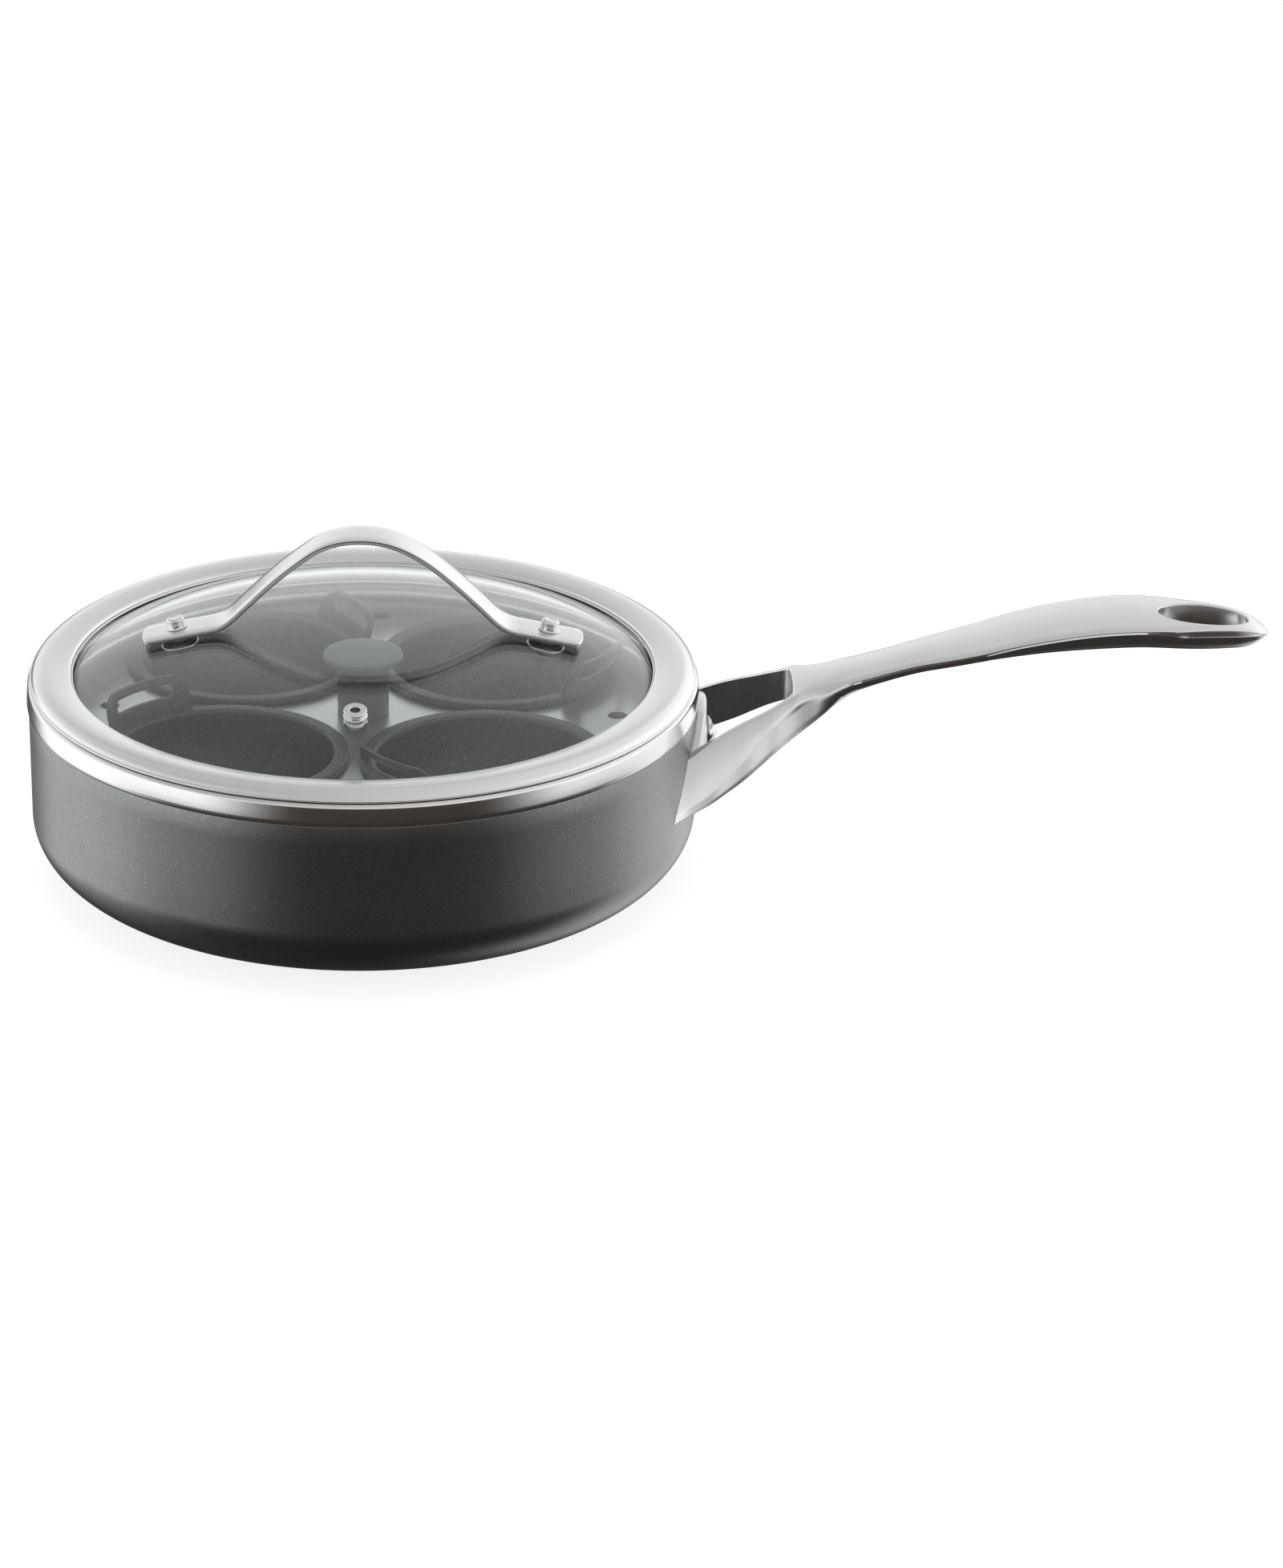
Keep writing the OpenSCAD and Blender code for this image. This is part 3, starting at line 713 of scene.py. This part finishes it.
# the lines that run along the fork and the neck: (x, y, z)
FORK = {
    "Et": [(94, 29.6, 43.5), (101, 27.0, 46.8), (107.3, 24.7, 49.7), (112.4, 22.8, 52.1), (118, 20.5, 54.4), (122.4, 18.8, 55.9),
           (127.4, 16.7, 57.8), (132.3, 13.9, 60.0), (135.3, 12.9, 61.4), (138, 11.6, 61.8), (141.4, 10.1, 62.5), (145, 9.2, 63.4), (149, 8.5, 64.5)],
    "C": [(94, 41.2, 31.4), (97.7, 38.0, 32.0), (101, 35.4, 33.2), (107.3, 31.6, 35.8), (112.4, 28.65, 40.0), (118, 25.8, 44.6), (122.4, 22.8, 48.2),
          (127.4, 19.9, 52.2), (132.5, 16.3, 55.6), (137, 14.0, 58.4), (141.4, 12.2, 60.3), (143.5, 12.0, 61.1), (145, 12.0, 61.6), (149, 11.5, 63.6)],
    "Eb": [(94, 42.2, 28.6), (97.7, 38.7, 29.5), (101, 36.2, 30.5), (107.3, 32.5, 32.6), (112.4, 30.2, 35.4), (118, 27.6, 38.6),
           (122.4, 25.2, 41.6), (127.4, 22.2, 45.0), (132.5, 18.8, 48.1), (137, 16.0, 50.7), (141.4, 13.9, 53.4), (145, 12.3, 55.8), (149, 10.7, 58.4)],
    "It": [(134, 10.3, 61.0), (137, 8.8, 61.9), (141.4, 7.0, 62.9), (145, 6.0, 63.8), (149, 5.1, 64.9)],
    "Ib": [(134, 14.4, 49.4), (137, 12.4, 51.1), (141.4, 10.2, 53.3), (145, 8.8, 55.4), (149, 7.4, 57.7)],
    "T": [(134, 0, 61.1), (135, 0, 61.6), (137, 0, 62.1), (141.4, 0, 63.1), (145, 0, 64.0), (149, 0, 65.1)],
    "B": [(134, 0, 51.6), (137, 0, 52.4), (141.4, 0, 54.0), (145, 0, 55.7), (149, 0, 57.6)],
}
KEY = {}
for name_, rows in FORK.items():
    rows = list(rows) + [(x, *grip_keys(x)[name_]) for x in list(np.arange(153.5, 276, 5.0)) + [278, 280.5, 282, 282.9]]
    KEY[name_] = (smooth_fn([(r[0], r[1]) for r in rows]), smooth_fn([(r[0], r[2]) for r in rows]))


def key(name_, x):
    fy, fz = KEY[name_]
    return np.array([fy(x), fz(x)])


def toward(a, b, d):
    v_ = b - a
    return a + v_ * min(0.45, d / max(1e-6, float(np.linalg.norm(v_))))


def out_normal(a, b):
    """points away from the axis of the handle for a line that runs down the side"""
    d_ = (b - a) / max(1e-6, float(np.linalg.norm(b - a)))
    return np.array([-d_[1], d_[0]])


GAP = 134.0
FIL = 2.4


def half_section(x):
    et, c_, eb = key("Et", x), key("C", x), key("Eb", x)
    grip = ease(x, 139, 156)
    soft = ease(x, 240, 266)
    if x >= GAP:
        it, ib, t_, b_ = key("It", x), key("Ib", x), key("T", x), key("B", x)
        if x < GAP + 2.5:        # the neck's inner corners run into the arms' fillets
            f_ = 1 - ease(x, GAP, GAP + 2.5)
            it = it + np.array([(et[0] - 2.6 - FIL - it[0]) * f_, 0])
            ib = ib + np.array([(eb[0] - 3.4 - FIL - ib[0]) * f_, 0])
            it[1] -= 0.35 * max(0.0, 1 - (x - GAP) / 0.5)
            t_ = t_ - np.array([0, 0.35 * max(0.0, 1 - (x - GAP) / 0.5)])
    else:
        u_ = max(0.0, x - (GAP - FIL))
        dy = FIL - math.sqrt(max(0.0, FIL * FIL - u_ * u_))
        it = et + np.array([-2.6 - dy, 0.12])
        ib = eb + np.array([-3.4 - dy, 0.35])
        t_ = b_ = None
    n_f = out_normal(et, c_)
    bulge = 0.45 * (1 - grip) + 0.12 * grip
    face = [et + (c_ - et) * k + n_f * bulge * 4 * k * (1 - k) for k in (0.28, 0.52, 0.76)]
    e1 = 1.0 + 0.6 * grip
    pts = [it, toward(et, it, e1), et + 0.28 * (toward(et, it, 1.0) - et) + 0.28 * (toward(et, face[0], 1.0) - et), toward(et, face[0], e1)] + face
    cr_ = 0.3 + 0.9 * soft
    k1, k2 = toward(c_, face[2], cr_), toward(c_, eb, cr_)
    pts += [toward(c_, face[2], 2.4 * cr_), k1, c_ * 0.4 + 0.3 * (k1 + k2), k2]
    n_g = out_normal(c_, eb)
    h_ = float(np.linalg.norm(eb - c_))
    for k, bl in ((0.10, 0.5), (0.3, 0.66), (0.66, 0.66)):
        kk = max(k, min(0.45, 2.2 * cr_ / max(h_, 1e-6))) if k < 0.2 else k
        pts.append(c_ + (eb - c_) * kk + n_g * bl * grip * min(1.0, half_w(x) / 10))
    e2 = 0.45 + 1.5 * grip
    a_, d_ = toward(eb, c_, e2), toward(eb, ib, e2)
    pts += [a_, eb * 0.5 + 0.25 * (a_ + d_), d_, 0.5 * (d_ + ib), ib]
    return pts, t_, b_


def ring_full(x):
    pts, t_, b_ = half_section(x)
    it, ib = pts[0], pts[-1]
    t1 = np.array([0.5 * it[0], t_[1] * 0.72 + it[1] * 0.28])
    b1 = np.array([0.5 * ib[0], b_[1] * 0.72 + ib[1] * 0.28])
    if x > 276:                  # the tip closes in height as well
        k_ = math.sqrt(max(0.03, 1 - ((x - 276) / 7.0) ** 2))
        mid = 0.5 * (edge_z(276) + low_z(276)) - 0.35
        f2 = lambda q: np.array([q[0], mid + (q[1] - mid) * k_])
        pts, t_, b_, t1, b1 = [f2(q) for q in pts], f2(t_), f2(b_), f2(t1), f2(b1)
    half = [t_, t1] + pts + [b1, b_]
    return [(x, q[0], q[1]) for q in half] + [(x, -q[0], q[1]) for q in half[-2:0:-1]]


def ring_arm(x):
    pts, _, _ = half_section(x)
    it, ib = pts[0], pts[-1]
    inner = [ib + (it - ib) * k for k in (0.04, 0.5, 0.96)]
    return pts, inner


n_sh = len(half_section(140)[0])
xs_full = list(np.arange(GAP, GAP + 0.76, 0.25)) + list(np.arange(GAP + 1.25, 156, 0.75)) + list(np.arange(157, 276, 1.5))
xs_full += list(276 + 6.9 * np.sin(np.radians(np.linspace(4, 90, 16))))
verts, faces = [], []
prev = None
for x in xs_full:
    r_ = ring_full(x)
    idx = list(range(len(verts), len(verts) + len(r_)))
    verts += r_
    if prev is not None:
        for k in range(len(idx)):
            k2 = (k + 1) % len(idx)
            faces.append((prev[k], prev[k2], idx[k2], idx[k]))
    else:
        first = idx
    prev = idx
faces.append(tuple(prev))
n_ring = len(first)
right = [first[2 + k] for k in range(n_sh)]
left = [first[n_ring - 2 - k] for k in range(n_sh)]
wall_inner = {}
for sgn, shared in ((1, right), (-1, left)):
    _, inner = ring_arm(GAP - 1e-6)
    add_ = []
    for q in inner:
        add_.append(len(verts))
        verts.append((GAP, sgn * q[0], q[1]))
    wall_inner[sgn] = add_
    last = shared + add_
    for x in list(np.arange(GAP - 0.3, GAP - FIL - 0.2, -0.3)) + list(np.arange(GAP - FIL - 0.8, 94, -0.9)) + [94]:
        pts, inner = ring_arm(x)
        cur = []
        for q in pts + inner:
            cur.append(len(verts))
            verts.append((x, sgn * q[0], q[1]))
        for k in range(len(cur)):
            k2 = (k + 1) % len(cur)
            faces.append((last[k], last[k2], cur[k2], cur[k]))
        last = cur
    faces.append(tuple(last))
# the end wall of the gap, in the plane x = GAP
wall = [right[0], first[1], first[0], first[n_ring - 1], left[0]] + wall_inner[-1][::-1] + [left[-1]]
n_half = n_sh + 4
wall += [first[n_half], first[n_half - 1], first[n_half - 2], right[-1]] + wall_inner[1]
faces.append(tuple(wall))
parts = [make("handle_bar", verts, faces, 42)]

# flange: a leaf that lies on the wall
leaf = curve([(-33.2, 31.6), (-31.6, 35.2), (-28.3, 40), (-24, 45.8), (-20, 48.9), (-14, 52.3), (-7, 54.7), (0, 55.4), (7, 54.7), (14, 52.3),
              (20, 48.9), (24, 45.8), (28.3, 40), (31.6, 35.2), (33.2, 31.6), (31, 29.9), (21, 27.0), (0, 24.6), (-21, 27.0), (-31, 29.9),
              (-33.2, 31.6)], 6)[:-1]
verts, faces = [], []
levels = [0.0, 0.25, 0.5, 0.75, 1.0]
grid = []
for f in (0.0, 0.35, 0.7, 0.9, 0.97, 1.0):
    row = []
    for p in leaf:
        yy, z_ = p[0] * f, 40 + (p[1] - 40) * f
        row.append((yy, z_))
    grid.append((f, row))
n_ = len(leaf)
outer_rows, inner_rows = [], []
for f, row in grid:
    drop = 0.0 if f < 0.9 else (0.25 if f < 0.99 else 1.0)
    o_, i_ = [], []
    for yy, z_ in row:
        ro_ = wall_r(z_) + 3.15 - drop + 0.5 * (1 - f)
        ri_ = wall_r(z_) - 0.6
        o_.append(len(verts)); verts.append((math.sqrt(max(ro_ * ro_ - yy * yy, 0)), yy, z_))
        i_.append(len(verts)); verts.append((math.sqrt(max(ri_ * ri_ - yy * yy, 0)), yy, z_))
    outer_rows.append(o_); inner_rows.append(i_)
for rows in (outer_rows, inner_rows):
    for a, b in zip(rows[:-1], rows[1:]):
        for k in range(n_):
            faces.append((a[k], a[(k + 1) % n_], b[(k + 1) % n_], b[k]))
for k in range(n_):
    faces.append((outer_rows[-1][k], outer_rows[-1][(k + 1) % n_], inner_rows[-1][(k + 1) % n_], inner_rows[-1][k]))
parts.append(make("leaf", verts, faces))

handle = parts[0]
handle.name = "long_handle_cast"
hole = []
hx0, ha, hb = 262.4, 14.1, 8.25
for a in np.linspace(0, 360, 120, endpoint=False):
    hole.append((math.cos(rad(a)), math.sin(rad(a))))


def surf(x, y, top_side):
    """height of the grip's top or underside above the point (x, y)"""
    half = ring_full(x)[:n_half + 1]
    ys = [q[1] for q in half]
    zs = [q[2] for q in half]
    m_ = int(np.argmax(ys))
    if top_side:
        return float(np.interp(abs(y), ys[:m_ + 1], zs[:m_ + 1]))
    return float(np.interp(abs(y), ys[m_:][::-1], zs[m_:][::-1]))


def hole_ring(off, z_of):
    out_ = []
    for cu, su in hole:
        x_, y_ = hx0 + (ha + off) * cu, (hb + off) * su
        out_.append((x_, y_, z_of(x_, y_)))
    return out_


edge = [(0.5, -0.03), (0.3, 0.03), (0.14, 0.14), (0.04, 0.3), (0.0, 0.52)]
rows = [hole_ring(0.5, lambda x, y: 66.0)]
rows += [hole_ring(o_, lambda x, y, d_=d_: surf(x, y, False) + d_) for o_, d_ in edge]
rows += [hole_ring(o_, lambda x, y, d_=d_: surf(x, y, True) - d_) for o_, d_ in edge[::-1]]
rows += [hole_ring(0.5, lambda x, y: 92.0)]
cut = loft("cut", rows, 60)


def corner_dirs(me):
    return [Vector(c_.vector) for c_ in me.corner_normals]


def keep_surface(ob, refs):
    """faces that still lie on the uncut surfaces get those surfaces' smooth normals"""
    co, tris, dirs = [], [], []
    for me in refs:
        me.calc_loop_triangles()
        cn = corner_dirs(me)
        base = len(co)
        co += [v_.co.copy() for v_ in me.vertices]
        for t_ in me.loop_triangles:
            tris.append(tuple(base + i for i in t_.vertices))
            dirs.append([cn[i] for i in t_.loops])
    tree = BVHTree.FromPolygons(co, tris)
    me = ob.data
    own = corner_dirs(me)
    for f in me.polygons:
        mid = f.center
        pts = [me.vertices[i].co for i in f.vertices]
        ok = True
        for q in pts + [mid]:
            hit = tree.find_nearest(q)
            if hit[0] is None or hit[3] > 4e-6:
                ok = False
                break
        if not ok or abs(tree.find_nearest(mid)[1].dot(f.normal)) < 0.9:
            continue
        for li, q in zip(f.loop_indices, pts):
            at = q + (mid - q) * 0.03
            loc, _, ti, _ = tree.find_nearest(at)
            a_, b_, c_ = (co[i] for i in tris[ti])
            n_ = (b_ - a_).cross(c_ - a_)
            ar = n_.length_squared
            if ar < 1e-24:
                continue
            wa = (b_ - loc).cross(c_ - loc).dot(n_) / ar
            wb = (c_ - loc).cross(a_ - loc).dot(n_) / ar
            v_ = dirs[ti][0] * wa + dirs[ti][1] * wb + dirs[ti][2] * (1 - wa - wb)
            if v_.dot(f.normal) < 0:
                v_ = -v_
            if v_.length > 1e-6 and v_.normalized().dot(f.normal) > 0.5:
                own[li] = v_.normalized()
    me.normals_split_custom_set([tuple(v_) for v_ in own])


refs = [parts[0].data.copy(), parts[1].data.copy()]
boolean(handle, [parts[1]], "UNION", "MANIFOLD")
seat = lathe("cut", [(0, 15), (wall_r(15) + 0.06, 15), (wall_r(60) + 0.06, 60), (0, 60)], 320)
boolean(handle, [seat, cut], "DIFFERENCE", "MANIFOLD")
tidy(handle, 42)
place(handle, "pan", "cast_steel", MAT["cast_steel"], "handle")
keep_surface(handle, refs)
for me_ in refs:
    bpy.data.meshes.remove(me_)

# rivets
rprof = [(0, 98.2), (2.6, 98.3), (4.2, 99.2), (4.4, 100.65), (2.5, 100.65), (2.5, 107.7), (4.0, 107.7), (4.35, 107.85), (4.4, 108.3)]
rprof += arc(0, 105.6, 5.16, 32, 90, 12)
rot = Matrix.Rotation(rad(90), 4, "Y")
ra = lathe("rivets_domed", rprof, 96, 40, Matrix.Translation((0, 0, 44.7)) @ rot)
rb = lathe("rb", rprof, 96, 40, Matrix.Translation((0, 0, 31.0)) @ rot)
bm = bmesh.new()
bm.from_mesh(ra.data)
bm.from_mesh(rb.data)
bm.to_mesh(ra.data)
bm.free()
me_ = rb.data
bpy.data.objects.remove(rb)
bpy.data.meshes.remove(me_)
place(ra, "pan", "polished_steel", MAT["small_steel"], "handle_rivets")

for node in ("tray_knob_screw", "tray_knob_washer"):
    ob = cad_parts[node]
    ob.data.materials.clear()
    ob.data.materials.append(MAT["small_steel"])

# ------------------------------------------------------------------ floor, light
fm = bpy.data.materials.new("floor")
fm.use_nodes = True
bs = fm.node_tree.nodes["Principled BSDF"]
bs.inputs["Roughness"].default_value = 0.8
bs.inputs["Specular IOR Level"].default_value = 0.1
bs.inputs["Base Color"].default_value = (0.3, 0.3, 0.3, 1)
bs.inputs["Emission Color"].default_value = (1, 1, 1, 1)
bs.inputs["Emission Strength"].default_value = 0.84
me = bpy.data.meshes.new("floor")
me.from_pydata([(-12, -12, -0.0004), (12, -12, -0.0004), (12, 12, -0.0004), (-12, 12, -0.0004)], [], [(0, 1, 2, 3)])
me.materials.append(fm)
floor = bpy.data.objects.new("floor", me)
scene.collection.objects.link(floor)
floor.visible_glossy = False
floor.visible_diffuse = False

world = bpy.data.worlds.new("world")
scene.world = world
world.use_nodes = True
nt = world.node_tree
bg = nt.nodes["Background"]


def wnode(kind, **props):
    x = nt.nodes.new("ShaderNode" + kind)
    for k_, v_ in props.items():
        setattr(x, k_, v_)
    return x


def wmath(op, a, b_=None, c_=None):
    x = wnode("Math", operation=op)
    for i, q in enumerate((a, b_, c_)):
        if q is None:
            continue
        if isinstance(q, (int, float)):
            x.inputs[i].default_value = q
        else:
            nt.links.new(q, x.inputs[i])
    return x.outputs[0]


def wramp(fac, stops):
    x = wnode("ValToRGB")
    el = x.color_ramp.elements
    x.color_ramp.interpolation = "EASE"
    cols = [(p_, col if isinstance(col, tuple) else (col, col, col)) for p_, col in stops]
    el[0].position, el[0].color = (cols[0][0] + 1) / 2, (*cols[0][1], 1)
    el[1].position, el[1].color = (cols[-1][0] + 1) / 2, (*cols[-1][1], 1)
    for p_, col in cols[1:-1]:
        e = el.new((p_ + 1) / 2)
        e.color = (*col, 1)
    nt.links.new(fac, x.inputs["Fac"])
    return x.outputs["Color"]


tc = wnode("TexCoord")
sp = wnode("SeparateXYZ")
nt.links.new(tc.outputs["Generated"], sp.inputs[0])
dx, dy_, dz = sp.outputs
flat = wmath("SQRT", wmath("MULTIPLY_ADD", dx, dx, wmath("MULTIPLY_ADD", dy_, dy_, 1e-5)))
# cosine of the turn away from the front of the set
turn = rad(8)
front = wmath("DIVIDE", wmath("SUBTRACT", wmath("MULTIPLY", dx, math.sin(turn)), wmath("MULTIPLY", dy_, math.cos(turn))), flat)
zf = wmath("MULTIPLY_ADD", dz, 0.5, 0.5)


def wsmooth(val, a, b_):
    x = wnode("MapRange", interpolation_type="SMOOTHSTEP")
    x.inputs["From Min"].default_value = a
    x.inputs["From Max"].default_value = b_
    nt.links.new(val, x.inputs["Value"])
    return x.outputs["Result"]


FRONT = [(-1, (0.03, 0.028, 0.027)), (-0.5, (0.032, 0.028, 0.025)), (-0.3, (0.045, 0.038, 0.033)), (-0.05, (0.06, 0.052, 0.047)), (0.1, 0.45),
         (0.22, 0.8), (0.35, 0.66), (0.6, 0.5), (1, 0.5)]
NEAR = [(-1, 0.03), (-0.55, 0.035), (-0.42, 0.12), (-0.3, 0.9), (-0.2, 1.0), (0.1, 1.0), (0.35, 0.75), (0.65, 0.55), (1, 0.5)]
SIDE = [(-1, 0.04), (-0.8, 0.07), (-0.6, 0.3), (-0.38, 0.95), (0.1, 1.0), (0.4, 0.85), (0.7, 0.6), (1, 0.5)]
RIGHT = [(-1, 0.1), (-0.86, 0.55), (-0.7, 0.95), (-0.38, 1.05), (0.1, 1.0), (0.4, 0.85), (0.7, 0.6), (1, 0.5)]
BACK = [(-1, 0.03), (-0.7, 0.04), (-0.4, 0.07), (-0.1, 0.16), (0.03, 0.85), (0.25, 0.78), (0.45, 0.6), (0.7, 0.48), (1, 0.5)]


def wmix(f_, a, b_):
    x = wnode("MixRGB", blend_type="MIX")
    nt.links.new(f_, x.inputs[0])
    nt.links.new(a, x.inputs[1])
    nt.links.new(b_, x.inputs[2])
    return x.outputs[0]


col = wmix(wsmooth(dx, 0.12, 0.35), wramp(zf, SIDE), wramp(zf, RIGHT))
col = wmix(wsmooth(front, -0.35, 0.2), col, wramp(zf, NEAR))
col = wmix(wsmooth(front, 0.4, 0.87), col, wramp(zf, FRONT))
col = wmix(wsmooth(front, -0.8, -0.97), col, wramp(zf, BACK))
nt.links.new(col, bg.inputs["Color"])
# a little brighter low on the left and high on the right
nt.links.new(wmath("MULTIPLY_ADD", wmath("MULTIPLY", dx, dz), 0.55, 1.25), bg.inputs["Strength"])


def area(name, loc, target, size, size_y, power, spread=180):
    ld = bpy.data.lights.new(name, "AREA")
    ld.shape = "RECTANGLE"
    ld.size, ld.size_y, ld.energy = size, size_y, power
    ld.spread = rad(spread)
    ob = bpy.data.objects.new(name, ld)
    scene.collection.objects.link(ob)
    ob.location = loc
    ob.rotation_euler = (Vector(target) - Vector(loc)).to_track_quat("-Z", "Y").to_euler()
    return ob


top_light = area("top_soft", (0.05, 0.25, 1.25), (0.05, 0, 0), 1.3, 1.0, 6)
top_light.visible_glossy = False
top_light.visible_transmission = False

scene.view_settings.view_transform = "Standard"
scene.view_settings.look = "None"
scene.view_settings.exposure = 0.0
scene.view_settings.gamma = 1.0

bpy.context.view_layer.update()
